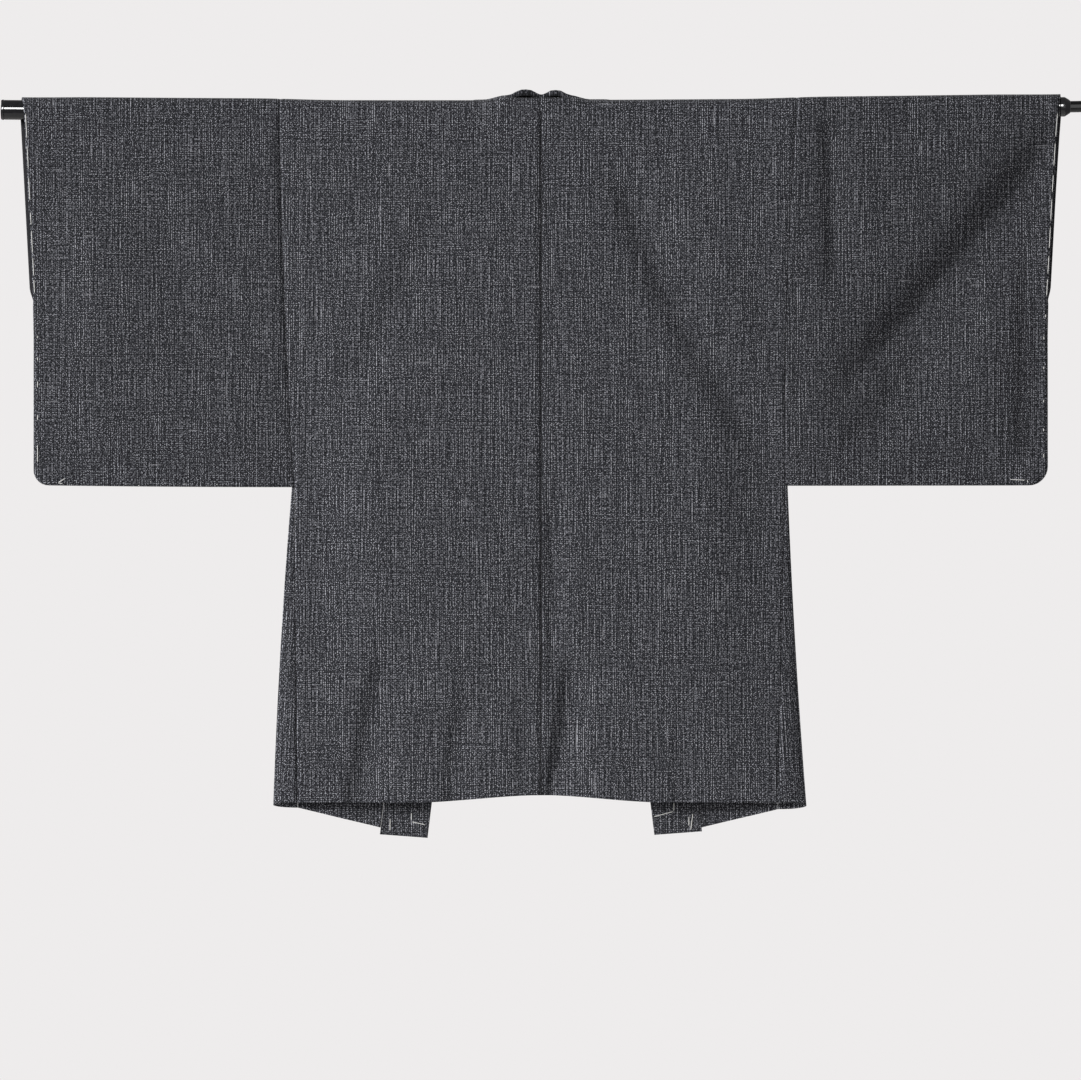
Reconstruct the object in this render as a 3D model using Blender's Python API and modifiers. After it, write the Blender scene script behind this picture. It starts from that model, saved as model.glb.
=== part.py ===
"""A haori, the Japanese jacket, hung flat by its sleeves on a telescopic rod.

Metres, +Z up. X runs along the rod, the jacket's back faces -Y and its fronts face +Y.
The origin lies on the rod's axis, at the centre back seam. Each panel is the middle surface of its
cloth, worked out from the cut sizes below, and Solidify gives it the wall.
"""

import math
from collections import namedtuple

import bmesh
import bpy

# Walls and clearances
CLOTH = 0.0018
BAND = 0.0030
BAND_PROUD = (BAND - CLOTH) / 2
SEAM_GAP = 0.0003

# The rod: its axis sags under the jacket and rises a little to the right
ROD_RADIUS = 0.0125
ROD_HALF_SPAN = 0.673
ROD_SAG = 0.0047
ROD_TILT = 0.0020
ROD_LEFT = -0.6858
CAP_LENGTH = 0.0038
CAP_RADIUS = 0.0128
CAP_ROUNDING = 0.0022
TUBE_RIGHT = 0.6590
CLAMP_RADIUS = 0.0125
CLAMP_LENGTH = 0.0127
CLAMP_SHOULDER = 0.0057
CLAMP_NOSE = 0.0080
INNER_RADIUS = 0.00725
ROD_RIGHT = 0.7120

# Body, measured down from the rod's axis
BACK_LENGTH = 0.8675
BACK_CORNER_DROP = 0.0092
BACK_CORNER_REACH = 0.16
FRONT_LENGTH = 0.877
FRONT_SLOPE = 0.241
HEM_REACH = 0.337
NECK_HALF = 0.087
NECK_SEAM_ANGLE = math.radians(-17)
NECK_SEAM_FROM = 0.025
NECK_SEAM_TO = 0.060

# How far the cloth stands above the rod where it rolls over it: the body lies on the rod, the back
# neck and the sleeves stand a little above it
BODY_LIFT = 0.0008
NECK_MIDDLE = -0.0052
NECK_LIFT = 0.0052
NECK_LIFT_FROM = 0.040
NECK_LIFT_TO = 0.068
SLEEVE_LIFT = 0.0028
SLEEVE_LIFT_FROM = 0.250
SLEEVE_LIFT_TO = 0.370
SLEEVE_LIFT_LOSS = 0.5

# Collar band
COLLAR_WIDTH = 0.0605
COLLAR_REACH = 0.204
COLLAR_SLOPE = (COLLAR_REACH - NECK_HALF) / 0.909
COLLAR_LENGTH = 0.914
COLLAR_CORNER_DROP = 0.0045
COLLAR_LEFT_DROP = 0.0038
COLLAR_DROP_POWER = 8
COLLAR_NECK_DROP = 0.021
COLLAR_NECK_CURVE = 0.020
COLLAR_NECK_FALL = 0.026

# Sleeves
SLEEVE_LENGTH = 0.4737
CUFF_OPENING = 0.245
CUFF_LOW = 0.643
OVERHANG_END = 0.020
OVERHANG_LOSS = 0.35
SHUT_ROUND = 0.050

# Half the distance between the back and front layers
TOP_DEPTH = ROD_RADIUS + SEAM_GAP + CLOTH / 2
HEM_DEPTH = 0.0120
GUSSET_DEPTH = 0.0090
EDGE_DEPTH = 0.0024
EDGE_REACH = EDGE_DEPTH + CLOTH / math.sqrt(2)
BODY_FLAT_TO = 0.200
SIDE_REACH = 0.300
CUFF_FLARE = 0.085

# What differs between the two sides: the sleeve seam at the rod, half way and at the sleeve's bottom,
# the gusset's seam and width at the hem and how far it swells on the way, the sleeve's lower edge at
# the body and at the cuff, how far out the cuff is at the rod and at the end of the hand opening, how
# far its front layer stands out past the back layer, and the sleeve's rounded corner
Side = namedtuple(
    "Side",
    "name sign seam_top seam_mid seam_low gusset_seam gusset_width gusset_swell "
    "bottom_in bottom_out cuff_top cuff_low cuff_overhang corner",
)
LEFT = Side(
    "left", -1, 0.3315, 0.3255, 0.3130, 0.3090, 0.0309, 0.35, 0.4765, 0.4740, 0.6560, 0.6444, 0.0062, 0.019
)
RIGHT = Side(
    "right", 1, 0.3250, 0.3125, 0.3100, 0.3010, 0.0362, -0.25, 0.4747, 0.4742, 0.6575, 0.6438, 0.0044, 0.024
)
SIDES = (LEFT, RIGHT)

# The largest folds, each a trough pushed towards +Y with one steeper wall: which layer it is in, the
# upper and lower ends of that wall, how far its middle bows sideways, half its width, how far the
# cloth takes to come back on the other side, and the fold's depth
Fold = namedtuple("Fold", "layer x0 z0 x1 z1 bow width spread depth")
FOLDS = (
    Fold("both", 0.690, 0.043, 0.348, -0.370, -0.0076, 0.0195, 0.060, 0.0176),
    Fold("both", 0.515, -0.268, 0.345, -0.460, 0.0, 0.0160, 0.034, 0.0056),
    Fold("both", 0.357, 0.030, 0.365, -0.245, 0.0, 0.0120, 0.020, 0.0040),
    Fold("both", -0.337, 0.012, -0.315, -0.470, 0.002, 0.0120, 0.018, 0.0020),
    Fold("both", -0.560, -0.070, -0.420, -0.310, 0.006, 0.0180, 0.040, 0.0024),
    Fold("back", 0.072, -0.035, 0.290, -0.462, 0.020, 0.0160, 0.036, 0.0066),
    Fold("back", 0.228, -0.140, 0.305, -0.350, 0.0, 0.0150, 0.026, 0.0028),
    Fold("back", -0.128, -0.090, -0.276, -0.395, 0.0, 0.0150, 0.032, 0.0034),
    Fold("back", 0.002, 0.090, 0.006, -0.790, 0.0, 0.0130, 0.018, 0.0032),
    Fold("back", 0.038, -0.665, -0.006, -0.950, 0.0, 0.0130, 0.022, 0.0074),
    Fold("back", -0.200, -0.650, -0.253, -0.950, 0.004, 0.0130, 0.026, 0.0058),
    Fold("back", -0.103, -0.720, -0.132, -0.950, 0.0, 0.0120, 0.018, 0.0034),
    Fold("front", -0.130, -0.060, -0.262, -0.430, 0.012, 0.0150, 0.032, -0.0045),
    Fold("front", 0.140, -0.080, 0.270, -0.400, -0.010, 0.0150, 0.032, -0.0038),
    Fold("front", 0.215, -0.560, 0.270, -0.950, 0.0, 0.0140, 0.022, -0.0036),
    Fold("front", -0.222, -0.500, -0.277, -0.950, 0.0, 0.0140, 0.024, -0.0042),
)
FOLD_FADE = 0.035
FADE_WIDTHS = 8

# The two soft lobes of the collar where it rolls over the rod
Lobe = namedtuple("Lobe", "x width height")
LOBES = (Lobe(-0.0200, 0.0142, 0.0072), Lobe(0.0184, 0.0122, 0.0063))
LOBE_ANGLE = math.radians(6)
LOBE_SPREAD = math.radians(28)

# How finely each panel is divided
BAND_COLUMNS = 5
NECK_COLUMNS = BAND_COLUMNS + 1
PANEL_COLUMNS = 10
SLEEVE_COLUMNS = 16
GUSSET_COLUMNS = 8
ARMHOLE_ROWS = 15
SLEEVE_ROWS_OPEN = 10
SLEEVE_ROWS_CLOSED = 8
CORNER_ROWS = 3
SKIRT_ROWS = 12
FRONT_UPPER_ROWS = 9
FRONT_SKIRT_ROWS = 8
ROLL_ROWS = 5
BAND_ROWS = 17
NECK_CURVE_ROWS = 3
GUSSET_ROWS = 10
ROD_SEGMENTS = 4 * ROLL_ROWS
ROD_SPANS = 8
CAP_ROUND_STEPS = 3


def mix(start, end, share):
    return start + (end - start) * share


def smooth(share):
    share = min(max(share, 0.0), 1.0)
    return share * share * (3 - 2 * share)


def axis_z(x):
    """Height of the rod's axis."""
    share = x / ROD_HALF_SPAN
    return ROD_SAG * share * share + ROD_TILT * share


def tapered_depth(drop, length):
    """The layers part at the rod and close on each other at the given length."""
    return mix(TOP_DEPTH, EDGE_DEPTH, min(max(drop / length, 0.0), 1.0) ** 1.5)


def half_depth(x, drop):
    """Half the distance between the layers, this far below the rod's axis."""
    reach = abs(x)
    body = mix(TOP_DEPTH, HEM_DEPTH, drop / BACK_LENGTH)
    side = tapered_depth(drop, SLEEVE_LENGTH)
    if drop > SLEEVE_LENGTH:
        skirt = (drop - SLEEVE_LENGTH) / (BACK_LENGTH - SLEEVE_LENGTH)
        side = mix(EDGE_DEPTH, GUSSET_DEPTH, smooth(skirt))
    depth = mix(body, side, smooth((reach - BODY_FLAT_TO) / (SIDE_REACH - BODY_FLAT_TO)))
    cuff = tapered_depth(drop, CUFF_OPENING)
    return mix(depth, cuff, smooth((reach - CUFF_LOW + CUFF_FLARE) / CUFF_FLARE))


def fold_offset(layer, x, z):
    """How far the folds of this layer push it towards +Y."""
    offset = 0.0
    for fold in FOLDS:
        if fold.layer not in (layer, "both"):
            continue
        run_x = fold.x1 - fold.x0
        run_z = fold.z1 - fold.z0
        length = math.hypot(run_x, run_z)
        along = ((x - fold.x0) * run_x + (z - fold.z0) * run_z) / length**2
        across = ((x - fold.x0) * run_z - (z - fold.z0) * run_x) / length
        across += fold.width - 4 * fold.bow * along * (1 - along)
        share = across / (fold.width if across > 0 else fold.spread)
        fade = FADE_WIDTHS * fold.width / length
        ends = smooth(along / fade) * smooth((1 - along) / fade)
        offset += fold.depth * ends * math.exp(-share * share / 2)
    return offset


def layer_point(layer, x, z, proud=0.0):
    """A point in the middle of the back or front cloth, below the rod's axis."""
    drop = axis_z(x) - z
    depth = half_depth(x, drop) + proud
    offset = fold_offset(layer, x, z) * smooth(drop / FOLD_FADE)
    return (x, offset + (depth if layer == "front" else -depth), z)


def roll_lift(x):
    """How far the cloth stands above the rod: most at the back neck, a little along the sleeves."""
    rise = (abs(x - NECK_MIDDLE) - NECK_LIFT_FROM) / (NECK_LIFT_TO - NECK_LIFT_FROM)
    sleeve = smooth((abs(x) - SLEEVE_LIFT_FROM) / (SLEEVE_LIFT_TO - SLEEVE_LIFT_FROM))
    sleeve *= 1 - SLEEVE_LIFT_LOSS * smooth((abs(x) - CUFF_LOW + CUFF_FLARE) / CUFF_FLARE)
    return BODY_LIFT + NECK_LIFT * (1 - smooth(rise)) + (SLEEVE_LIFT - BODY_LIFT) * sleeve


def neck_seam_angle(x):
    """Where the collar's seam lies over the rod: behind its top at the nape, on its top at the sides."""
    return NECK_SEAM_ANGLE * (1 - smooth((abs(x) - NECK_SEAM_FROM) / (NECK_SEAM_TO - NECK_SEAM_FROM)))


def roll_point(x, angle, lobe=0.0, proud=0.0):
    """A point in the middle of the cloth where it rolls over the rod; the angle is 0 at the top."""
    radius = TOP_DEPTH + proud + (roll_lift(x) + lobe) * math.cos(angle)
    return (x, radius * math.sin(angle), axis_z(x) + radius * math.cos(angle))


def side_seam(side, drop):
    """How far out the panel's side seam lies: along the armhole, then along the gusset."""
    share = drop / SLEEVE_LENGTH
    if share > 1:
        skirt = (drop - SLEEVE_LENGTH) / (BACK_LENGTH - SLEEVE_LENGTH)
        return mix(side.seam_low, side.gusset_seam, skirt)
    bend = 2 * (side.seam_top + side.seam_low - 2 * side.seam_mid)
    slope = side.seam_low - side.seam_top - bend
    return side.seam_top + slope * share + bend * share * share


def back_hem(x):
    return -BACK_LENGTH - BACK_CORNER_DROP * smooth(abs(x) / BACK_CORNER_REACH)


def front_hem(x):
    return -FRONT_LENGTH - FRONT_SLOPE * (HEM_REACH - abs(x))


def collar_seam(drop):
    """How far out the seam between collar and front panel lies."""
    return NECK_HALF + COLLAR_SLOPE * max(drop, 0.0)


def collar_edge(drop):
    """How far out the collar's free edge lies; it curves inwards under the nape."""
    curve = 1 - min(max((drop - COLLAR_NECK_DROP) / COLLAR_NECK_FALL, 0.0), 1.0)
    inward = COLLAR_NECK_CURVE * (1 - math.sqrt(1 - curve * curve))
    return collar_seam(drop) - COLLAR_WIDTH - inward


def collar_lobes(x, angle):
    """How far the collar's lobes stand above its roll."""
    share = (angle - LOBE_ANGLE) / LOBE_SPREAD
    if abs(share) >= 1:
        return 0.0
    rise = 1 - share**4 if share < 0 else math.cos(share * math.pi / 2) ** 2
    return rise * sum(lobe.height * math.exp(-(abs((x - lobe.x) / lobe.width) ** 3)) for lobe in LOBES)


def add_grid(mesh, columns, rows, place, keep=None):
    """Adds a grid with its points where place(column, row) says, less the cells that keep refuses."""
    made = bmesh.ops.create_grid(mesh, x_segments=columns, y_segments=rows, size=1.0)
    dropped = []
    for face in {face for vertex in made["verts"] for face in vertex.link_faces}:
        centre = face.calc_center_median()
        column = math.floor((centre.x + 1) / 2 * columns)
        row = math.floor((centre.y + 1) / 2 * rows)
        if keep and not keep(column, row):
            dropped.append(face)
    for vertex in made["verts"]:
        column = round((vertex.co.x + 1) / 2 * columns)
        row = round((vertex.co.y + 1) / 2 * rows)
        vertex.co = place(column, row)
    bmesh.ops.delete(mesh, geom=dropped, context="FACES")


def add_object(name, mesh, material):
    data = bpy.data.meshes.new(name)
    mesh.to_mesh(data)
    mesh.free()
    data.materials.append(material)
    obj = bpy.data.objects.new(name, data)
    PARTS.objects.link(obj)
    return obj


def add_cloth(name, mesh, wall, material):
    """Closes the seams of a piece's middle surface and gives it its wall."""
    bmesh.ops.remove_doubles(mesh, verts=mesh.verts, dist=SEAM_GAP / 10)
    bmesh.ops.recalc_face_normals(mesh, faces=mesh.faces)
    obj = add_object(name, mesh, material)
    solidify = obj.modifiers.new("Wall", "SOLIDIFY")
    solidify.thickness = wall
    solidify.offset = 0.0
    solidify.use_even_offset = True
    obj.data.shade_smooth()
    return obj


def principled(name, colour, roughness, metallic=0.0):
    material = bpy.data.materials.new(name)
    material.use_nodes = True
    shader = material.node_tree.nodes["Principled BSDF"]
    shader.inputs["Base Color"].default_value = (*colour, 1.0)
    shader.inputs["Roughness"].default_value = roughness
    shader.inputs["Metallic"].default_value = metallic
    return material


def evenly(start, end, steps):
    return [mix(start, end, step / steps) for step in range(steps + 1)]


def make_body(side, material):
    """Half of the body in one length: up the back, over the rod, and down the front."""
    back_drops = evenly(BACK_LENGTH, SLEEVE_LENGTH, SKIRT_ROWS)[:-1]
    back_drops += evenly(SLEEVE_LENGTH, ROD_RADIUS, ARMHOLE_ROWS) + [0.0]
    front_drops = evenly(0.0, SLEEVE_LENGTH, FRONT_UPPER_ROWS)
    front_drops += evenly(SLEEVE_LENGTH, FRONT_LENGTH, FRONT_SKIRT_ROWS)[1:]
    ridge_row = len(back_drops) - 1 + ROLL_ROWS
    columns = NECK_COLUMNS + PANEL_COLUMNS
    rows = ridge_row + ROLL_ROWS + len(front_drops) - 1

    def reach_at(column, inner, drop):
        """How far out a column lies: first the neck's, in line with the collar's, then the panel's."""
        if column == 0:
            return SEAM_GAP / 2
        if column <= NECK_COLUMNS and not inner:
            neck = NECK_HALF + (SEAM_GAP / 2 if column == NECK_COLUMNS else -SEAM_GAP / 2)
            return mix(collar_edge(0.0), neck, (column - 1) / BAND_COLUMNS)
        start = (inner or NECK_HALF) + SEAM_GAP / 2
        outer = side_seam(side, drop) - SEAM_GAP / 2
        return mix(start, outer, (column - NECK_COLUMNS) / PANEL_COLUMNS)

    def place(column, row):
        if row < len(back_drops):
            drop = back_drops[row]
            x = side.sign * reach_at(column, None, drop)
            z = mix(axis_z(x), back_hem(x), drop / BACK_LENGTH)
            return layer_point("back", x, z)
        if row <= ridge_row:
            x = side.sign * reach_at(column, None, 0.0)
            top = neck_seam_angle(x) - SEAM_GAP / 2 / TOP_DEPTH
            if column >= NECK_COLUMNS:
                top = 0.0
            share = (row - len(back_drops) + 1) / ROLL_ROWS
            return roll_point(x, mix(-math.pi / 2, top, share))
        if row <= ridge_row + ROLL_ROWS:
            x = side.sign * reach_at(max(column, NECK_COLUMNS), collar_seam(0.0), 0.0)
            return roll_point(x, mix(0.0, math.pi / 2, (row - ridge_row) / ROLL_ROWS))
        drop = front_drops[row - ridge_row - ROLL_ROWS]
        x = side.sign * reach_at(max(column, NECK_COLUMNS), collar_seam(drop), drop)
        for _ in range(3):
            z = mix(axis_z(x), front_hem(x), drop / FRONT_LENGTH)
            x = side.sign * reach_at(max(column, NECK_COLUMNS), collar_seam(-z), drop)
        return layer_point("front", x, z)

    mesh = bmesh.new()
    add_grid(mesh, columns, rows, place, lambda column, row: column >= NECK_COLUMNS or row < ridge_row)
    return add_cloth("body_" + side.name, mesh, CLOTH, material)


def shut_round(drop):
    """How far the sleeve's shut outer edge has rounded out: not at all where the hand opening ends."""
    return smooth((drop - CUFF_OPENING) / SHUT_ROUND)


def sleeve_reach(side, layer, drop):
    """How far out the sleeve's outer edge lies, before its rounded corner."""
    share = min(drop / CUFF_OPENING, 1.0)
    reach = mix(side.cuff_top, side.cuff_low, share) - EDGE_REACH * shut_round(drop)
    if layer == "back":
        return reach
    closing = smooth((CUFF_OPENING - drop) / OVERHANG_END)
    return reach + side.cuff_overhang * (1 - OVERHANG_LOSS * share) * closing


def make_sleeve(side, material):
    """A tube round the rod, flat below it, shut along its bottom and up the cuff to the hand opening."""
    corner = side.corner - EDGE_REACH
    length = SLEEVE_LENGTH - EDGE_REACH
    drops = [0.0, *evenly(ROD_RADIUS, CUFF_OPENING - OVERHANG_END, SLEEVE_ROWS_OPEN - 2)]
    drops += evenly(CUFF_OPENING, length - corner, SLEEVE_ROWS_CLOSED)
    turns = [math.pi / 2 * step / CORNER_ROWS for step in range(1, CORNER_ROWS + 1)]
    drops += [length - corner + corner * math.sin(turn) for turn in turns]
    bottom = len(drops) - 1

    def corner_turn(drop):
        return math.asin(min(max((drop - length + corner) / corner, 0.0), 1.0))

    def sheet_point(layer, column, drop):
        start = side_seam(side, drop) + SEAM_GAP / 2
        edge = sleeve_reach(side, layer, drop) - corner * (1 - math.cos(corner_turn(drop)))
        x = side.sign * mix(start, edge, column / SLEEVE_COLUMNS)
        lower = (abs(x) - start) / (CUFF_LOW - start)
        low_edge = EDGE_REACH - mix(side.bottom_in, side.bottom_out, lower * lower)
        return layer_point(layer, x, mix(axis_z(x), low_edge, drop / length))

    def edge_point(column, drop, outward):
        """The fold that joins the two layers along a shut edge, out from the layers' own edges."""
        back = sheet_point("back", column, drop)
        front = sheet_point("front", column, drop)
        middle = [(a + b) / 2 for a, b in zip(back, front)]
        bulge = EDGE_DEPTH * shut_round(drop)
        middle[0] += side.sign * bulge * math.cos(outward)
        middle[2] -= bulge * math.sin(outward)
        return middle

    roll_angles = evenly(-math.pi / 2, math.pi / 2, 2 * ROLL_ROWS)[1:-1]
    tube_rows = 2 * bottom + 3 + len(roll_angles)

    def place_tube(column, row):
        if row in (0, tube_rows):
            return edge_point(column, drops[bottom], math.pi / 2)
        if row <= bottom + 1:
            return sheet_point("back", column, drops[bottom + 1 - row])
        if row > bottom + 1 + len(roll_angles):
            return sheet_point("front", column, drops[row - bottom - 2 - len(roll_angles)])
        angle = roll_angles[row - bottom - 2]
        edge = side.cuff_top + side.cuff_overhang * (angle / math.pi + 0.5)
        reach = mix(side_seam(side, 0.0) + SEAM_GAP / 2, edge, column / SLEEVE_COLUMNS)
        return roll_point(side.sign * reach, angle)

    def place_cuff_edge(column, row):
        drop = drops[bottom - row]
        if column == 1:
            return edge_point(SLEEVE_COLUMNS, drop, corner_turn(drop))
        return sheet_point("back" if column == 0 else "front", SLEEVE_COLUMNS, drop)

    mesh = bmesh.new()
    add_grid(mesh, SLEEVE_COLUMNS, tube_rows, place_tube)
    add_grid(mesh, 2, bottom - SLEEVE_ROWS_OPEN, place_cuff_edge)
    return add_cloth("sleeve_" + side.name, mesh, CLOTH, material)


def make_gusset(side, material):
    """The strip between back and front below the sleeve, folded along its middle."""
    top = side.bottom_in + SEAM_GAP

    def place(column, row):
        turn = mix(-math.pi / 2, math.pi / 2, column / GUSSET_COLUMNS)
        reach = side_seam(side, BACK_LENGTH)
        hem = mix(back_hem(reach), front_hem(reach), (1 + math.sin(turn)) / 2)
        z = mix(-top, hem, row / GUSSET_ROWS)
        seam = side.sign * (side_seam(side, -z) + SEAM_GAP)
        share = row / GUSSET_ROWS
        growth = share * (1 + side.gusset_swell * (1 - share))
        width = mix(EDGE_DEPTH, side.gusset_width - CLOTH / 2, growth)
        back = layer_point("back", seam, z)[1]
        front = layer_point("front", seam, z)[1]
        y = mix(back, front, (1 + math.sin(turn)) / 2)
        return (seam + side.sign * width * math.cos(turn), y, z)

    mesh = bmesh.new()
    add_grid(mesh, GUSSET_COLUMNS, GUSSET_ROWS, place)
    return add_cloth("gusset_" + side.name, mesh, CLOTH, material)


def make_collar(material):
    """One band: up one front, over the rod behind the neck, and down the other front."""
    drops = evenly(COLLAR_LENGTH, COLLAR_NECK_DROP + COLLAR_NECK_FALL, BAND_ROWS)
    for step in range(NECK_CURVE_ROWS - 1, -1, -1):
        drops.append(COLLAR_NECK_DROP + COLLAR_NECK_FALL * (step / NECK_CURVE_ROWS) ** 1.6)
    neck_row = len(drops) - 1
    drops += [COLLAR_NECK_DROP / 2, 0.0]
    roll_row = len(drops) - 1
    columns = 2 * BAND_COLUMNS + 2
    rows = roll_row + 2 * ROLL_ROWS

    def across(column, drop):
        """Distance from the centre line, and how far across its band the column lies from the seam."""
        share = min(min(column, columns - column) / BAND_COLUMNS, 1.0)
        seam = collar_seam(drop) - SEAM_GAP / 2
        reach = mix(seam, collar_edge(drop), share)
        if 2 * column == columns:
            return 0.0, share
        return (reach if 2 * column > columns else -reach), share

    def place(column, row):
        if row > roll_row:
            x = across(column, 0.0)[0]
            end = neck_seam_angle(x) + SEAM_GAP / TOP_DEPTH
            angle = mix(math.pi / 2, end, (row - roll_row) / (2 * ROLL_ROWS))
            return roll_point(x, angle, collar_lobes(x, angle), BAND_PROUD)
        drop = drops[row]
        x, share = across(column, drop)
        low = (drop / COLLAR_LENGTH) ** COLLAR_DROP_POWER
        hangs_lower = COLLAR_CORNER_DROP * share + (COLLAR_LEFT_DROP if x < 0 else 0.0)
        z = axis_z(x) * (1 - low) - drop - hangs_lower * low
        return layer_point("front", x, z, BAND_PROUD)

    def keep(column, row):
        return row >= neck_row or not BAND_COLUMNS <= column < columns - BAND_COLUMNS

    mesh = bmesh.new()
    add_grid(mesh, columns, rows, place, keep)
    return add_cloth("collar", mesh, BAND, material)


def make_bar(name, profile, material):
    """A turned bar that follows the rod's axis, from (x, radius) pairs, with flat upright ends."""
    mesh = bmesh.new()
    pairs = [(profile[0][0], 0.0), *profile, (profile[-1][0], 0.0)]
    points = [mesh.verts.new((x, 0, radius)) for x, radius in pairs]
    edges = [mesh.edges.new(ends) for ends in zip(points, points[1:])]
    bmesh.ops.spin(
        mesh,
        geom=points + edges,
        cent=(0, 0, 0),
        axis=(1, 0, 0),
        dvec=(0, 0, 0),
        angle=math.tau,
        steps=ROD_SEGMENTS,
        use_merge=True,
    )
    bmesh.ops.remove_doubles(mesh, verts=mesh.verts, dist=SEAM_GAP / 10)
    for vertex in mesh.verts:
        vertex.co.z += axis_z(vertex.co.x)
    bmesh.ops.recalc_face_normals(mesh, faces=mesh.faces)
    obj = add_object(name, mesh, material)
    obj.data.shade_smooth()
    obj.data.set_sharp_from_angle(angle=math.radians(40))


def make_rod():
    """Outer tube with its end cap, clamping collar and inner tube, each set against the next."""
    paint = principled("black_gloss_paint", (0.010, 0.010, 0.011), 0.22)
    plastic = principled("black_moulded_plastic", (0.008, 0.008, 0.009), 0.20)

    cap_end = ROD_LEFT + CAP_LENGTH
    cap_profile = []
    for step in range(CAP_ROUND_STEPS + 1):
        turn = math.pi / 2 * step / CAP_ROUND_STEPS
        x = ROD_LEFT + CAP_ROUNDING * (1 - math.sin(turn))
        cap_profile.insert(0, (x, CAP_RADIUS - CAP_ROUNDING * (1 - math.cos(turn))))
    make_bar("rod_cap_left", [*cap_profile, (cap_end, CAP_RADIUS)], plastic)

    tube_start = cap_end + SEAM_GAP
    tube_profile = [(x, ROD_RADIUS) for x in evenly(tube_start, TUBE_RIGHT, ROD_SPANS)]
    make_bar("rod_tube", tube_profile, paint)

    clamp_start = TUBE_RIGHT + SEAM_GAP
    clamp_end = clamp_start + CLAMP_LENGTH
    shoulder = clamp_start + CLAMP_SHOULDER
    clamp_profile = [(clamp_start, CLAMP_RADIUS), (shoulder, CLAMP_RADIUS), (clamp_end, CLAMP_NOSE)]
    make_bar("rod_collar_right", clamp_profile, plastic)

    inner_start = clamp_end + SEAM_GAP
    make_bar("rod_inner", [(inner_start, INNER_RADIUS), (ROD_RIGHT, INNER_RADIUS)], paint)


for old in list(bpy.data.objects):
    bpy.data.objects.remove(old, do_unlink=True)
PARTS = bpy.data.collections.new("haori_on_rod")
bpy.context.scene.collection.children.link(PARTS)

for SIDE in SIDES:
    make_body(SIDE, principled("grey_cloth_body_" + SIDE.name, (0.064, 0.064, 0.071), 0.92))
    make_sleeve(SIDE, principled("grey_cloth_sleeve_" + SIDE.name, (0.060, 0.060, 0.067), 0.92))
    make_gusset(SIDE, principled("grey_cloth_gusset_" + SIDE.name, (0.058, 0.058, 0.065), 0.92))
make_collar(principled("grey_cloth_collar", (0.055, 0.055, 0.062), 0.90))
make_rod()
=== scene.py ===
import math
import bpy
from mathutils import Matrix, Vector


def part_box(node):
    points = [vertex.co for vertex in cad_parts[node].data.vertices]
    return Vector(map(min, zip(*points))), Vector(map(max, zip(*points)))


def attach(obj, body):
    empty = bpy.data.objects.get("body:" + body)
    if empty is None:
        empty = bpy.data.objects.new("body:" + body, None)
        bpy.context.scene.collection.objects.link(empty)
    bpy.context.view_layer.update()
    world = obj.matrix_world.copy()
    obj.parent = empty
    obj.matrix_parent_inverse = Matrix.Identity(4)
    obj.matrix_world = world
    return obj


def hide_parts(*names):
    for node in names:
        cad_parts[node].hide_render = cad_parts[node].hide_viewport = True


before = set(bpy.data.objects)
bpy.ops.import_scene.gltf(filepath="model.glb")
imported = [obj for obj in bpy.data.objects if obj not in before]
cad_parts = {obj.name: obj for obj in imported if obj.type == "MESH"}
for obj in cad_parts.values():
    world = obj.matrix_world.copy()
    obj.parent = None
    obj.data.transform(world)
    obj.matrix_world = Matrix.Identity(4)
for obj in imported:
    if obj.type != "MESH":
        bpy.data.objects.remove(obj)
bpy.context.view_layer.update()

from types import SimpleNamespace

import bmesh
import bpy
from mathutils import Vector, noise


# -------- the rod's outer tube
# The thick tube of a telescopic clothes rod: drawn steel tube with a sprayed and baked black gloss,
# which sags a little under the jacket. It passes through both sleeves and carries the cloth.

ROD_RADIUS = 0.0125
ROD_HALF_SPAN = 0.673
ROD_SAG = 0.0047
ROD_TILT = 0.0020
TUBE_SIDES = 64
TUBE_SPANS = 48
TUBE_RIM = 0.0006
RIM_STEPS = 5
EDGE_SHARP = math.radians(35)
BLACK_GLOSS = "#070708"
GLOSS_DUST = "#0f0f11"


def axis_z(x):
    """Height of the rod's axis, which sags between its ends and leans up to the right."""
    share = x / ROD_HALF_SPAN
    return ROD_SAG * share * share + ROD_TILT * share


def mix(start, end, share):
    return start + (end - start) * share


def linear(colour, tone=1.0):
    """An sRGB hex colour as the linear red, green, blue and alpha that a shader takes."""
    parts = [int(colour[i:i + 2], 16) / 255 for i in (1, 3, 5)]
    parts = [part / 12.92 if part <= 0.04045 else ((part + 0.055) / 1.055) ** 2.4 for part in parts]
    return (*[part * tone for part in parts], 1)


def feed(tree, node, **inputs):
    """Feeds a node's inputs: one given as (node, output) is linked, and any other is a constant."""
    for name, value in inputs.items():
        socket = node.inputs[int(name[1:]) if name[1:].isdigit() else name.replace("_", " ")]
        if isinstance(value, tuple) and isinstance(value[0], bpy.types.Node):
            tree.links.new(value[0].outputs[value[1]], socket)
        else:
            socket.default_value = value
    return node


def add_node(tree, kind, settings=None, **inputs):
    """Adds a shader node of this kind with its settings, and feeds its inputs."""
    node = tree.nodes.new("ShaderNode" + kind)
    for name, value in (settings or {}).items():
        setattr(node, name, value)
    return feed(tree, node, **inputs)


def new_material(name, **constants):
    """A material with one Principled shader, whose constant values are set on its own sockets."""
    material = bpy.data.materials.new(name)
    material.use_nodes = True
    tree = material.node_tree
    return material, tree, feed(tree, tree.nodes["Principled BSDF"], **constants)


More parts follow.
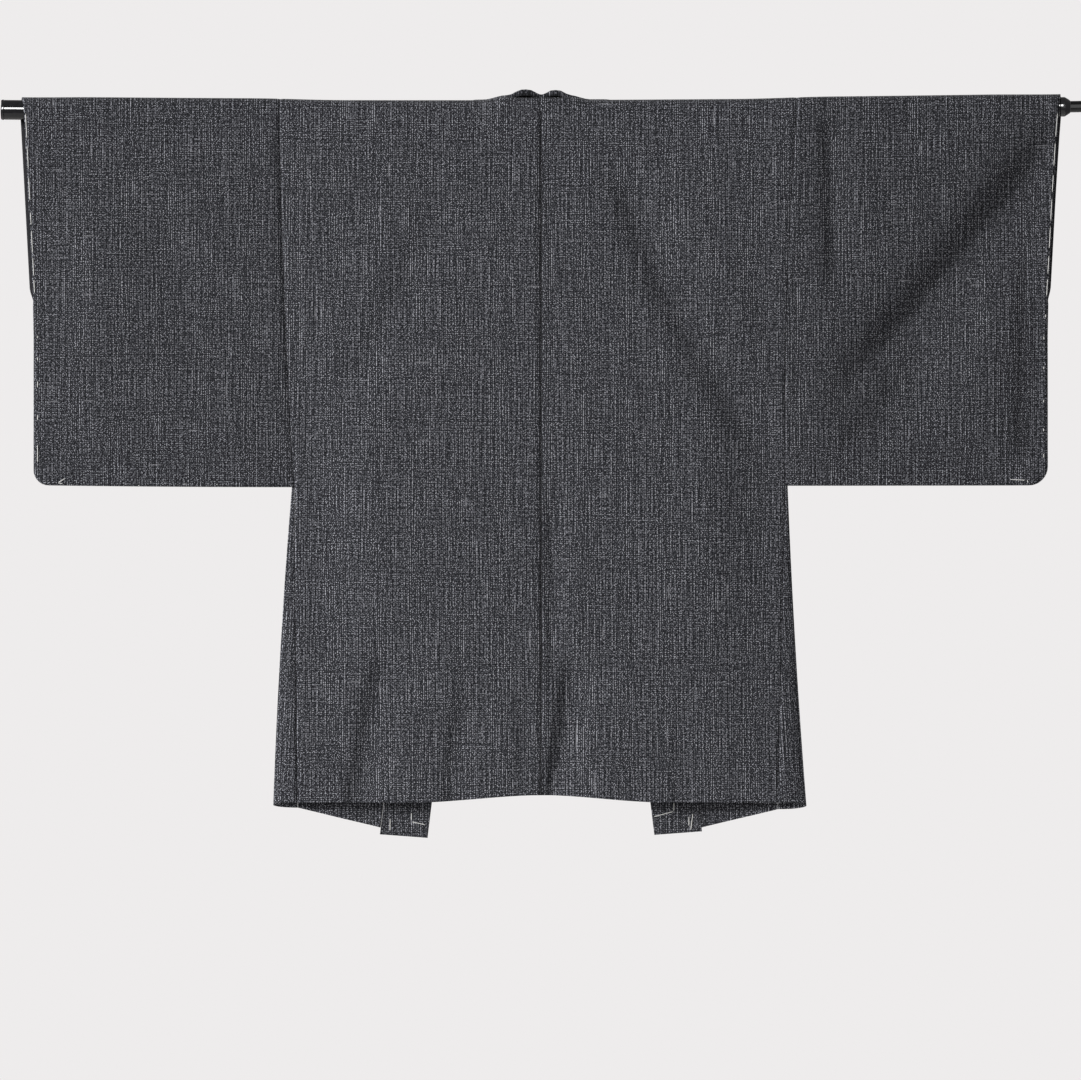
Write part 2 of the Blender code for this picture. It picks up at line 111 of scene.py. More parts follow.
def gloss_paint():
    """Baked enamel on steel tube: deep black, a clear reflection, the faint ripple of sprayed paint."""
    material, tree, shader = new_material("baked_black_enamel", Roughness=0.07, Specular_IOR_Level=0.40)
    place = add_node(tree, "TexCoord")
    ripple = add_node(tree, "TexNoise", Vector=(place, "Object"), Scale=90.0, Detail=2.0)
    bump = add_node(tree, "Bump", Strength=0.05, Distance=0.0004, Height=(ripple, "Fac"))
    dust = add_node(tree, "TexNoise", Vector=(place, "Object"), Scale=400.0, Detail=3.0)
    tone = add_node(tree, "ValToRGB", Fac=(dust, "Fac"))
    tone.color_ramp.elements[0].color = linear(BLACK_GLOSS)
    tone.color_ramp.elements[1].color = linear(GLOSS_DUST)
    tone.color_ramp.elements[0].position = 0.45
    tone.color_ramp.elements[1].position = 0.85
    feed(tree, shader, Base_Color=(tone, "Color"), Normal=(bump, "Normal"))
    return material


def add_object(name, data):
    thing = bpy.data.objects.new(name, data)
    bpy.context.scene.collection.objects.link(thing)
    return thing


def mesh_object(name, mesh, material):
    """Makes a finished mesh an object of one material."""
    data = bpy.data.meshes.new(name)
    mesh.to_mesh(data)
    mesh.free()
    data.materials.append(material)
    return add_object(name, data)


def place_piece(name, mesh, material, nodes):
    """Makes the mesh an object at the origin that rides with the part and stands for its CAD nodes."""
    piece = mesh_object(name, mesh, material)
    piece.data.shade_smooth()
    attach(piece, "root")
    if nodes:
        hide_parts(*nodes)
    return piece


def rod_piece(name, profile, material, node):
    """A turned piece on the rod's axis from (x, radius) pairs, closed at both ends."""
    mesh = bmesh.new()
    points = [mesh.verts.new((x, 0, radius)) for x, radius in profile]
    edges = [mesh.edges.new(pair) for pair in zip(points, points[1:])]
    turn = {"cent": (0, 0, 0), "axis": (1, 0, 0), "dvec": (0, 0, 0), "angle": math.tau}
    bmesh.ops.spin(mesh, geom=points + edges, steps=TUBE_SIDES, use_merge=True, **turn)
    bmesh.ops.remove_doubles(mesh, verts=mesh.verts, dist=1e-6)
    for vertex in mesh.verts:
        vertex.co.z += axis_z(vertex.co.x)
    bmesh.ops.recalc_face_normals(mesh, faces=mesh.faces)
    piece = place_piece(name, mesh, material, [node])
    piece.data.set_sharp_from_angle(angle=EDGE_SHARP)
    return piece


def rounded_end(x, radius, rounding, towards):
    """Profile of a flat end with a rounded rim, from the axis outwards; towards is -1 for a left end."""
    pairs = [(x, 0.0)]
    for step in range(RIM_STEPS + 1):
        turn = math.pi / 2 * step / RIM_STEPS
        inwards = rounding * (1 - math.cos(turn))
        pairs.append((x - towards * inwards, radius - rounding * (1 - math.sin(turn))))
    return pairs


tube_low, tube_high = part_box("rod_tube")
tube_profile = rounded_end(tube_low.x, ROD_RADIUS, TUBE_RIM, -1)
for step in range(1, TUBE_SPANS):
    tube_profile.append((mix(tube_low.x, tube_high.x, step / TUBE_SPANS), ROD_RADIUS))
tube_profile += rounded_end(tube_high.x, ROD_RADIUS, TUBE_RIM, 1)[::-1]
enamel = gloss_paint()
rod_tube = rod_piece("rod_tube_gloss", tube_profile, enamel, "rod_tube")


# -------- the rod's fittings and thin tube
# A moulded cap closes the thick tube on the left. On the right a moulded clamping collar grips the
# thin tube, which slides in the thick one and carries the same enamel.

LIP_PROUD = 0.0004
LIP_EDGE = 0.0003
CAP_ROUNDING = 0.0022
CLAMP_CLEAR = 0.0001
CLAMP_EDGE = 0.0006
CLAMP_SHOULDER = 0.45
CLAMP_NOSE = 0.0080
NOSE_EDGE = 0.0005
THIN_TUBE_RIM = 0.0008
BLACK_PLASTIC = "#0a0a0b"


def moulded_plastic():
    """Injection-moulded ABS: black and glossy, with a faint uneven polish left by its mould."""
    material, tree, shader = new_material("black_moulded_abs", Roughness=0.16)
    place = add_node(tree, "TexCoord")
    grain = add_node(tree, "TexNoise", Vector=(place, "Object"), Scale=2200.0, Detail=2.0)
    bump = add_node(tree, "Bump", Strength=0.06, Distance=0.0001, Height=(grain, "Fac"))
    shade = add_node(tree, "MapRange", Value=(grain, "Fac"), To_Min=0.11, To_Max=0.20)
    plain = linear(BLACK_PLASTIC)
    feed(tree, shader, Base_Color=plain, Roughness=(shade, "Result"), Normal=(bump, "Normal"))
    return material


plastic = moulded_plastic()
cap_low, cap_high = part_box("rod_cap_left")
cap_radius = ROD_RADIUS + LIP_PROUD
cap_profile = rounded_end(cap_low.x, cap_radius, CAP_ROUNDING, -1)
cap_profile += [(cap_high.x - LIP_EDGE, cap_radius), (cap_high.x, cap_radius - LIP_EDGE), (cap_high.x, 0.0)]
cap = rod_piece("rod_end_cap", cap_profile, plastic, "rod_cap_left")

clamp_low, clamp_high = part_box("rod_collar_right")
clamp_radius = (clamp_high.y - clamp_low.y) / 2 - CLAMP_CLEAR
shoulder = mix(clamp_low.x, clamp_high.x, CLAMP_SHOULDER)
clamp_profile = [
    (clamp_low.x, 0.0),
    (clamp_low.x, clamp_radius - CLAMP_EDGE),
    (clamp_low.x + CLAMP_EDGE, clamp_radius),
    (shoulder, clamp_radius),
    (shoulder + CLAMP_EDGE, clamp_radius - CLAMP_EDGE / 2),
    (clamp_high.x - CLAMP_EDGE, CLAMP_NOSE + NOSE_EDGE),
    (clamp_high.x, CLAMP_NOSE),
    (clamp_high.x, 0.0),
]
clamp = rod_piece("rod_clamp", clamp_profile, plastic, "rod_collar_right")

inner_low, inner_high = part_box("rod_inner")
inner_radius = (inner_high.y - inner_low.y) / 2
inner_middle = mix(inner_low.x, inner_high.x, 0.5)
inner_profile = [(inner_low.x, 0.0), (inner_low.x, inner_radius), (inner_middle, inner_radius)]
inner_profile += rounded_end(inner_high.x, inner_radius, THIN_TUBE_RIM, 1)[::-1]
inner = rod_piece("rod_thin_tube", inner_profile, enamel, "rod_inner")


# -------- body panels
# Each half of the body is one length of narrow-loom cloth, up the back, over the rod and down the
# front. It is a dark plain weave of mixed grey yarns. The halves meet in the centre back seam, and
# every seam is pressed inwards a little. The creases are where the hung cloth pulls and hangs.

CLOTH = 0.0014
CLOTH_CAD = 0.0018
SEAM = 0.00012
CELL = 0.0048
BESIDE_SEAM = (0.0011, 0.0024)
BACK_ROLL_SHARES = (0.14, 0.28, 0.42, 0.56, 0.70, 0.80, 0.88, 0.94, 1.0)
FRONT_ROLL_STEPS = 7
BACK_LENGTH = 0.8675
BACK_CORNER_DROP = 0.0092
BACK_CORNER_REACH = 0.16
FRONT_LENGTH = 0.877
FRONT_SLOPE = 0.241
HEM_REACH = 0.337
NECK_HALF = 0.087
NECK_MIDDLE = -0.0052
NECK_LIFT = 0.0052
NECK_LIFT_FROM = 0.040
NECK_LIFT_TO = 0.068
NECK_SEAM_ANGLE = math.radians(-17)
NAPE_REACH = 0.025
NECK_SIDE_REACH = 0.060
BODY_LIFT = 0.0008
SLEEVE_LIFT = 0.0028
SLEEVE_LIFT_FROM = 0.250
SLEEVE_LIFT_WIDTH = 0.120
CUFF_SINK = 0.5
CUFF_SINK_FROM = 0.560
CUFF_SINK_WIDTH = 0.096
COLLAR_REACH = 0.204
COLLAR_SLOPE = (COLLAR_REACH - NECK_HALF) / 0.909
SLEEVE_LENGTH = 0.4737
CUFF_OPENING = 0.245
CUFF_LOW = 0.643
ROD_CLEAR = 0.0003
TOP_DEPTH = ROD_RADIUS + ROD_CLEAR + CLOTH_CAD / 2
ROLL_LENGTH = math.pi * TOP_DEPTH
HEM_DEPTH = 0.0120
GUSSET_DEPTH = 0.0090
EDGE_DEPTH = 0.0024
CLOSING_POWER = 1.5
BODY_FLAT_TO = 0.200
SIDE_REACH = 0.300
CUFF_FLARE = 0.085
SEAM_PRESS = 0.0011
SEAM_PRESS_WIDTH = 0.0024
NECK_PRESS = 0.0028
NECK_PRESS_WIDTH = 0.0012
RIPPLE = 0.0004
RIPPLE_LENGTHS = (0.085, 0.17)
SMALL_RIPPLE = 0.12
SMALL_RIPPLE_LENGTHS = (0.030, 0.070)
GREY_DARK = "#141519"
GREY_MIDDLE = "#4a4b51"
GREY_LIGHT = "#b3b4bc"
GREY_SLUB = "#b8b8be"
# the thin shadow painted along the seams: its colour, and how dark it is at the centre back, the sides and
# the collar seam
SEAM_SHADOW_GREY = "#0e0e10"
CENTRE_SHADE = 1.0
SIDE_SHADE = 0.22
COLLAR_SHADE = 0.55

# the weave, in mm: a yarn's width, the length of a tone along warp and weft, and a pair of yarns
YARN = 1.3
WARP_TONE_LENGTH = 60.0
WEFT_TONE_LENGTH = 45.0
YARN_PAIR = 2.7
# how strongly each pattern changes the tone, about a middle level
WEAVE_LEVEL = 0.178
WARP_TONE = 0.86
WEFT_TONE = 0.46
WARP_PAIR_TONE = 0.30
WEFT_PAIR_TONE = 0.20
# flecks where a yarn comes to the face: width and height in mm, the way to the next one, lot and tone
FLECKS = ((1.30, 0.90, (1, 0), 0, 0.69), (0.90, 1.30, (0, 1), 50, 0.55))
# a yarn thickens into a slub where its noise runs between these values
SLUB_FROM = 0.85
SLUB_TO = 0.90
SLUB_SHARE = 0.35
# at scale 1 a wave texture repeats every 0.314 units
WAVE_REPEAT = 0.314
# the scale along a pair of yarns, against 1000 across it, which makes it wander gently
PAIR_WANDER = 120

SIDES = (
    SimpleNamespace(
        name="left", sign=-1, seam_top=0.3315, seam_mid=0.3255, seam_low=0.3130,
        gusset_seam=0.3090, gusset_width=0.0309, gusset_swell=0.35, bottom_in=0.4765, bottom_out=0.4740,
        cuff_top=0.6560, cuff_low=0.6444, cuff_overhang=0.0062, corner=0.019,
    ),
    SimpleNamespace(
        name="right", sign=1, seam_top=0.3250, seam_mid=0.3125, seam_low=0.3100,
        gusset_seam=0.3010, gusset_width=0.0362, gusset_swell=-0.25, bottom_in=0.4747, bottom_out=0.4742,
        cuff_top=0.6575, cuff_low=0.6438, cuff_overhang=0.0044, corner=0.024,
    ),
)

# each crease, by its layer: the x and z of the upper and lower ends of its shaded wall, the sideways bow
# of its middle, half the wall's width, how far the cloth takes to come back beside it, and its depth
CREASES = {
    "both": (
        (0.69, 0.043, 0.334, -0.387, -0.0076, 0.0195, 0.06, 0.0176),
        (0.515, -0.268, 0.345, -0.46, 0.0, 0.014, 0.034, 0.0056),
        (0.357, 0.03, 0.365, -0.245, 0.0, 0.007, 0.018, 0.005),
        (0.611, -0.17, 0.607, -0.466, 0.003, 0.006, 0.012, 0.003),
        (0.627, -0.22, 0.624, -0.46, 0.0, 0.005, 0.01, 0.0022),
        (0.318, -0.18, 0.314, -0.41, 0.0, 0.006, 0.014, 0.002),
        (-0.337, 0.012, -0.318, -0.4, 0.002, 0.006, 0.014, 0.0016),
        (-0.56, -0.07, -0.42, -0.31, 0.006, 0.018, 0.04, 0.0024),
        (-0.5, -0.23, -0.41, -0.4, 0.0, 0.016, 0.03, 0.0014),
    ),
    "back": (
        (0.072, -0.035, 0.29, -0.462, 0.02, 0.0135, 0.036, 0.0066),
        (0.228, -0.14, 0.305, -0.35, 0.0, 0.012, 0.026, 0.0028),
        (-0.128, -0.09, -0.276, -0.395, 0.0, 0.014, 0.032, 0.0034),
        (0.002, 0.09, 0.006, -0.79, 0.0, 0.0062, 0.016, 0.001),
        (0.007, -0.48, 0.01, -0.74, 0.0, 0.005, 0.012, 0.0028),
        (0.038, -0.665, -0.006, -0.95, 0.0, 0.008, 0.021, 0.0072),
        (-0.2, -0.65, -0.253, -0.95, 0.004, 0.01, 0.026, 0.0058),
        (-0.103, -0.72, -0.132, -0.95, 0.0, 0.0075, 0.017, 0.0036),
        (-0.029, -0.7, -0.031, -0.95, 0.0, 0.0065, 0.014, 0.002),
        (0.165, -0.73, 0.172, -0.95, 0.0, 0.008, 0.016, 0.0018),
        (-0.01, -0.645, -0.205, -0.652, 0.0, 0.0035, 0.006, 0.0005),
        (-0.12, -0.467, -0.312, -0.47, 0.0, 0.0035, 0.006, 0.0005),
        (0.215, -0.573, 0.305, -0.578, 0.0, 0.0035, 0.006, 0.0005),
    ),
    "front": (
        (-0.13, -0.06, -0.262, -0.43, 0.012, 0.011, 0.032, -0.0045),
        (0.14, -0.08, 0.27, -0.4, -0.01, 0.012, 0.032, -0.0038),
        (0.215, -0.56, 0.27, -0.95, 0.0, 0.01, 0.022, -0.0036),
        (-0.222, -0.5, -0.277, -0.95, 0.0, 0.011, 0.024, -0.0042),
        (0.292, -0.62, 0.283, -0.95, 0.0, 0.007, 0.016, -0.0016),
    ),
}
CREASE_FADE = 0.035
FADE_WIDTHS = 8


def smooth(share):
    share = min(max(share, 0.0), 1.0)
    return share * share * (3 - 2 * share)


def tapered_depth(drop, length):
    """The layers part at the rod and close on each other at the given length."""
    return mix(TOP_DEPTH, EDGE_DEPTH, min(max(drop / length, 0.0), 1.0) ** CLOSING_POWER)


def half_depth(x, drop):
    """Half the distance between the back and front layers, this far below the rod's axis."""
    reach = abs(x)
    body = mix(TOP_DEPTH, HEM_DEPTH, drop / BACK_LENGTH)
    side = tapered_depth(drop, SLEEVE_LENGTH)
    if drop > SLEEVE_LENGTH:
        skirt = (drop - SLEEVE_LENGTH) / (BACK_LENGTH - SLEEVE_LENGTH)
        side = mix(EDGE_DEPTH, GUSSET_DEPTH, smooth(skirt))
    depth = mix(body, side, smooth((reach - BODY_FLAT_TO) / (SIDE_REACH - BODY_FLAT_TO)))
    cuff = tapered_depth(drop, CUFF_OPENING)
    return mix(depth, cuff, smooth((reach - CUFF_LOW + CUFF_FLARE) / CUFF_FLARE))


def crease_offset(layer, x, z):
    """How far the creases and the cloth's slight unevenness push this layer towards +Y."""
    offset = 0.0
    for x0, z0, x1, z1, bow, width, spread, depth in CREASES["both"] + CREASES[layer]:
        run_x = x1 - x0
        run_z = z1 - z0
        length = math.hypot(run_x, run_z)
        along = ((x - x0) * run_x + (z - z0) * run_z) / length**2
        if not 0 < along < 1:
            continue
        across = ((x - x0) * run_z - (z - z0) * run_x) / length
        across += width - 4 * bow * along * (1 - along)
        share = across / (width if across > 0 else spread)
        fade = FADE_WIDTHS * width / length
        ends = smooth(along / fade) * smooth((1 - along) / fade)
        offset += depth * ends * math.exp(-share * share / 2)
    # each layer, and each size of ripple, takes its own part of the noise
    draw = 0.0 if layer == "back" else 7.0
    wave = noise.noise(Vector((x / RIPPLE_LENGTHS[0], z / RIPPLE_LENGTHS[1], draw)))
    small = Vector((x / SMALL_RIPPLE_LENGTHS[0], z / SMALL_RIPPLE_LENGTHS[1], draw + 3.0))
    wave += SMALL_RIPPLE * noise.noise(small)
    return offset + RIPPLE * wave


def layer_point(layer, x, z, seam_distance=1.0, proud=0.0):
    """A point in the middle of the back or front cloth; near a seam the cloth is pressed inwards."""
    drop = axis_z(x) - z
    depth = half_depth(x, drop) + proud
    depth -= SEAM_PRESS * math.exp(-((seam_distance / SEAM_PRESS_WIDTH) ** 2))
    offset = crease_offset(layer, x, z) * smooth(drop / CREASE_FADE)
    return Vector((x, offset + (depth if layer == "front" else -depth), z))


def roll_lift(x):
    """How far the roll stands above the rod: a little at the body, more at the sleeves and the neck."""
    rise = (abs(x - NECK_MIDDLE) - NECK_LIFT_FROM) / (NECK_LIFT_TO - NECK_LIFT_FROM)
    sleeve = smooth((abs(x) - SLEEVE_LIFT_FROM) / SLEEVE_LIFT_WIDTH)
    sleeve *= 1 - CUFF_SINK * smooth((abs(x) - CUFF_SINK_FROM) / CUFF_SINK_WIDTH)
    return BODY_LIFT + NECK_LIFT * (1 - smooth(rise)) + (SLEEVE_LIFT - BODY_LIFT) * sleeve


def neck_seam_angle(x):
    """Where the collar's seam lies over the rod: behind its top at the nape, on its top at the sides."""
    rise = (abs(x) - NAPE_REACH) / (NECK_SIDE_REACH - NAPE_REACH)
    return NECK_SEAM_ANGLE * (1 - smooth(rise))


def roll_point(x, angle, seam_distance=1.0, neck_distance=1.0, lobe=0.0, proud=0.0):
    """A point in the middle of the cloth where it rolls over the rod; the angle is 0 at the top."""
    radius = TOP_DEPTH + proud + (roll_lift(x) + lobe) * math.cos(angle)
    radius -= SEAM_PRESS / 2 * math.exp(-((seam_distance / SEAM_PRESS_WIDTH) ** 2))
    radius -= NECK_PRESS * math.exp(-((neck_distance / NECK_PRESS_WIDTH) ** 2))
    return Vector((x, radius * math.sin(angle), axis_z(x) + radius * math.cos(angle)))


def side_seam(side, drop):
    """How far out the panel's side seam lies: along the armhole, then along the gusset."""
    share = drop / SLEEVE_LENGTH
    if share > 1:
        skirt = (drop - SLEEVE_LENGTH) / (BACK_LENGTH - SLEEVE_LENGTH)
        return mix(side.seam_low, side.gusset_seam, skirt)
    bend = 2 * (side.seam_top + side.seam_low - 2 * side.seam_mid)
    slope = side.seam_low - side.seam_top - bend
    return side.seam_top + slope * share + bend * share * share


def back_hem(x):
    return -BACK_LENGTH - BACK_CORNER_DROP * smooth(abs(x) / BACK_CORNER_REACH)


def front_hem(x):
    return -FRONT_LENGTH - FRONT_SLOPE * (HEM_REACH - abs(x))


def collar_seam(drop):
    """How far out the seam between collar and front panel lies."""
    return NECK_HALF + COLLAR_SLOPE * max(drop, 0.0)


def stations(start, end, near_start=False, near_end=False):
    """Places from start to end about a cell apart, closer together beside a pressed seam."""
    steps = max(2, round(abs(end - start) / CELL))
    places = [mix(start, end, step / steps) for step in range(steps + 1)]
    towards = math.copysign(1.0, end - start)
    if near_start:
        places[1:1] = [start + towards * gap for gap in BESIDE_SEAM]
    if near_end:
        places[-1:-1] = [end - towards * gap for gap in reversed(BESIDE_SEAM)]
    return places


def shares_across(start, end, **seams):
    """The same places as shares of the way from start to end."""
    return [(place - start) / (end - start) for place in stations(start, end, **seams)]


def cloth_grid(mesh, columns, rows, place, keep=None):
    """Adds a grid: place(column, row) gives each point, its place on the flat cut and any painted seam
    shadow.
    """
    made = bmesh.ops.create_grid(mesh, x_segments=columns, y_segments=rows, size=1.0)
    flat = mesh.loops.layers.uv["weave"]
    shade = mesh.verts.layers.float["seam_shade"]
    dropped = []
    for face in {face for vertex in made["verts"] for face in vertex.link_faces}:
        centre = face.calc_center_median()
        column = math.floor((centre.x + 1) / 2 * columns)
        row = math.floor((centre.y + 1) / 2 * rows)
        if keep and not keep(column, row):
            dropped.append(face)
    for vertex in made["verts"]:
        column = round((vertex.co.x + 1) / 2 * columns)
        row = round((vertex.co.y + 1) / 2 * rows)
        vertex.co, cut, *painted_seam_shadow = place(column, row)
        vertex[shade] = painted_seam_shadow[0] if painted_seam_shadow else 0.0
        for loop in vertex.link_loops:
            loop[flat].uv = cut
    bmesh.ops.delete(mesh, geom=dropped, context="FACES")


def new_cloth():
    mesh = bmesh.new()
    mesh.loops.layers.uv.new("weave")
    mesh.verts.layers.float.new("seam_shade")
    return mesh


def cloth_piece(name, mesh, wall, material, node, inside=None):
    bmesh.ops.remove_doubles(mesh, verts=mesh.verts, dist=SEAM / 4)
    bmesh.ops.recalc_face_normals(mesh, faces=mesh.faces)
    piece = place_piece(name, mesh, material, [node])
    solidify = piece.modifiers.new("Wall", "SOLIDIFY")
    solidify.thickness = wall
    solidify.offset = 0.0
    solidify.use_even_offset = True
    if inside:
        piece.data.materials.append(inside)
        solidify.material_offset = 1
    return piece


def mixed_grey_weave(name, shift, tone):
    """Plain weave of mixed grey wool yarns, woven dull and left unpressed, so it is matt with a little nap.

    The yarns are 0.6 mm apart, too fine to show, so each one drawn stands for two. It keeps its tone
    across its width and changes along it, as slubby yarn does. What makes one yarn or fleck lighter
    makes the next one darker, so the cloth is even when it is seen as a whole. Each piece has its own
    shift, so that no two pieces show the same yarns, and its own tone, which on the sleeves is partly
    painted shade.
    """
    material, tree, shader = new_material(name, Roughness=0.93, Specular_IOR_Level=0.22)
    feed(tree, shader, Sheen_Weight=0.05, Sheen_Roughness=0.5)
    cut = add_node(tree, "UVMap", {"uv_map": "weave"})
    patterns = []
    thick_yarns = []
    warp = (0.0, WARP_TONE_LENGTH, WARP_TONE)
    weft = (math.pi / 2, WEFT_TONE_LENGTH, WEFT_TONE)
    for turn, length, strength in (warp, weft):
        scale = (1000 / YARN, 1000 / length, 1.0)
        turned = add_node(tree, "Mapping", Vector=(cut, "UV"), Rotation=(0.0, 0.0, turn))
        placed = add_node(tree, "Mapping", Vector=(turned, "Vector"), Location=shift, Scale=scale)
        axes = add_node(tree, "SeparateXYZ", Vector=(placed, "Vector"))
        number = add_node(tree, "Math", {"operation": "FLOOR"}, _0=(axes, "X"))
        line = {"noise_dimensions": "1D"}
        plane = {"noise_dimensions": "2D"}
        for step, share in ((0.0, strength), (1.0, -strength)):
            near = add_node(tree, "Math", {"operation": "ADD"}, _0=(number, "Value"), _1=step)
            drawn = add_node(tree, "TexWhiteNoise", line, W=(near, "Value"))
            lot = add_node(tree, "Math", {"operation": "MULTIPLY"}, _0=(drawn, "Value"), _1=500.0)
            run = add_node(tree, "CombineXYZ", X=(lot, "Value"), Y=(axes, "Y"))
            yarn = add_node(tree, "TexNoise", plane, Vector=(run, "Vector"), Scale=1.0, Detail=0.5)
            patterns.append((yarn, "Fac", share))
        slub_range = {"From_Min": SLUB_FROM, "From_Max": SLUB_TO, "To_Max": SLUB_SHARE}
        thick_yarns.append(add_node(tree, "MapRange", Value=(yarn, "Fac"), **slub_range))
    warp_pairs = ("X", (1000, PAIR_WANDER, 1000), WARP_PAIR_TONE)
    weft_pairs = ("Y", (PAIR_WANDER, 1000, 1000), WEFT_PAIR_TONE)
    for direction, stretch, strength in (warp_pairs, weft_pairs):
        placed = add_node(tree, "Mapping", Vector=(cut, "UV"), Location=shift, Scale=stretch)
        rows = add_node(tree, "TexWave", {"bands_direction": direction}, Vector=(placed, "Vector"))
        feed(tree, rows, Scale=WAVE_REPEAT / YARN_PAIR, Distortion=1.0, Detail_Scale=2.0)
        patterns.append((rows, "Fac", strength))
    for width, height, next_cell, lot, strength in FLECKS:
        scale = (1000 / width, 1000 / height, 1.0)
        solid = {"noise_dimensions": "3D"}
        for step, share in ((0, strength), (1, -strength)):
            aside = (step * next_cell[0], step * next_cell[1], lot)
            cells = add_node(tree, "Mapping", Vector=(cut, "UV"), Location=aside, Scale=scale)
            cell = add_node(tree, "VectorMath", {"operation": "FLOOR"}, _0=(cells, "Vector"))
            fleck = add_node(tree, "TexWhiteNoise", solid, Vector=(cell, "Vector"))
            patterns.append((fleck, "Value", share))

    so_far = WEAVE_LEVEL - sum(strength for pattern, output, strength in patterns) / 2
    for pattern, output, strength in patterns:
        level = add_node(tree, "Math", {"operation": "MULTIPLY_ADD"}, _0=(pattern, output))
        feed(tree, level, _1=strength, _2=so_far)
        so_far = (level, "Value")
    ramp = add_node(tree, "ValToRGB", Fac=(level, "Value"))
    ramp.color_ramp.elements.new(0.5)
    for element, grey in zip(ramp.color_ramp.elements, (GREY_DARK, GREY_MIDDLE, GREY_LIGHT)):
        element.color = linear(grey, tone)
    thick_warp, thick_weft = thick_yarns
    slub = add_node(tree, "Math", {"operation": "MAXIMUM"}, _0=(thick_warp, 0), _1=(thick_weft, 0))
    # a Mix node takes its two colours at inputs 6 and 7 and gives one at output 2
    blend = {"data_type": "RGBA"}
    colour = add_node(tree, "Mix", blend, _0=(slub, 0), _6=(ramp, "Color"), _7=linear(GREY_SLUB, tone))
    # painted shadow: the seam_shade attribute darkens the cloth to a thin shadow line along the seams and
    # behind the nape
    painted_shadow = add_node(tree, "Attribute", {"attribute_name": "seam_shade"})
    shaded = add_node(tree, "Mix", blend, _0=(painted_shadow, "Fac"), _6=(colour, 2), _7=linear(SEAM_SHADOW_GREY))
    relief = add_node(tree, "Math", {"operation": "ADD"}, _0=(level, "Value"), _1=(slub, 0))
    bump = add_node(tree, "Bump", Strength=0.25, Distance=0.00025, Height=(relief, "Value"))
    feed(tree, shader, Base_Color=(shaded, 2), Normal=(bump, "Normal"))
    return material


def body_half(side):
    """The mesh of one half: columns run from the centre back or the collar seam out to the side seam."""
    neck = stations(SEAM, NECK_HALF, near_start=True)
    neck_end = len(neck) - 1
    shares = shares_across(NECK_HALF, side.seam_top, near_end=True)
    across = [(reach, None) for reach in neck[:-1]] + [(None, share) for share in shares]
    rows = [("back", drop) for drop in stations(BACK_LENGTH, 0.0, near_start=True)]
    rows += [("back roll", share) for share in BACK_ROLL_SHARES]
    ridge = len(rows) - 1
    rows += [("front roll", step / FRONT_ROLL_STEPS) for step in range(1, FRONT_ROLL_STEPS + 1)]
    rows += [("front", drop) for drop in stations(0.0, FRONT_LENGTH, near_end=True)[1:]]

    def reach_at(column, inner, drop):
        reach, share = across[column]
        if share is None:
            return reach
        return mix(inner, side_seam(side, drop) - SEAM, share)

    def seam_shade(column):
        """The thin line of shadow in a seam: dark at the centre back and light at the sides."""
        if column < 2:
            return CENTRE_SHADE / (1 + 2 * column)
        return SIDE_SHADE if column == len(across) - 1 else 0.0

    def front_shade(column):
        return COLLAR_SHADE if column == neck_end else seam_shade(column)

    def place(column, row):
        """The cloth's point: drop is a length on the back and front, and a share of the way on the roll."""
        stretch, drop = rows[row]
        column_inner = max(column, neck_end)
        if stretch == "back":
            reach = reach_at(column, NECK_HALF, drop)
            x = side.sign * reach
            z = mix(axis_z(x), back_hem(x), drop / BACK_LENGTH)
            seam = min(reach, side_seam(side, drop) - reach)
            return layer_point("back", x, z, seam), (x, z - axis_z(x)), seam_shade(column)
        if stretch == "back roll":
            reach = reach_at(column, NECK_HALF, 0.0)
            x = side.sign * reach
            top = neck_seam_angle(x) - SEAM / TOP_DEPTH if column < neck_end else 0.0
            seam = min(reach, side_seam(side, 0.0) - reach)
            from_neck = (1 - drop) * TOP_DEPTH * (top + math.pi / 2) if column < neck_end else 1.0
            point = roll_point(x, mix(-math.pi / 2, top, drop), seam, from_neck)
            return point, (x, drop * ROLL_LENGTH / 2)
        if stretch == "front roll":
            reach = reach_at(column_inner, NECK_HALF + SEAM, 0.0)
            x = side.sign * reach
            seam = side_seam(side, 0.0) - reach
            return roll_point(x, mix(0.0, math.pi / 2, drop), seam), (x, (1 + drop) * ROLL_LENGTH / 2), 0.0
        # the seam's slant and the point's height settle each other in three rounds
        z = -drop
        for _ in range(3):
            reach = reach_at(column_inner, collar_seam(-z) + SEAM, drop)
            x = side.sign * reach
            z = mix(axis_z(x), front_hem(x), drop / FRONT_LENGTH)
        seam = min(reach - collar_seam(-z), side_seam(side, drop) - reach)
        return layer_point("front", x, z, seam), (x, ROLL_LENGTH - z + axis_z(x)), front_shade(column)

    def keep(column, row):
        return column >= neck_end or row < ridge

    mesh = new_cloth()
    cloth_grid(mesh, len(across) - 1, len(rows) - 1, place, keep)
    return mesh


for side in SIDES:
    weave = mixed_grey_weave("grey_weave_body_" + side.name, (3.0 + side.sign, 1.7, 0.0), 1.0)
    name = "body_panel_" + side.name
    cloth_piece(name, body_half(side), CLOTH, weave, "body_" + side.name)


# -------- sleeves, with their basting
# Each sleeve is one length of the same cloth folded over the rod, sewn to the body and shut along its
# bottom and up its outer edge to the hand opening. White cotton basting from the making still
# holds the folded edges: long stitches round the hand opening, and small ones along the shut edges.

EDGE_REACH = EDGE_DEPTH + CLOTH / 2
CUFF_INSET = 0.0022
OVERHANG_END = 0.020
OVERHANG_LOSS = 0.35
SHUT_ROUND = 0.050
CORNER_STEPS = 8
ROLL_STEPS = 14
FOLD_STEPS = 4
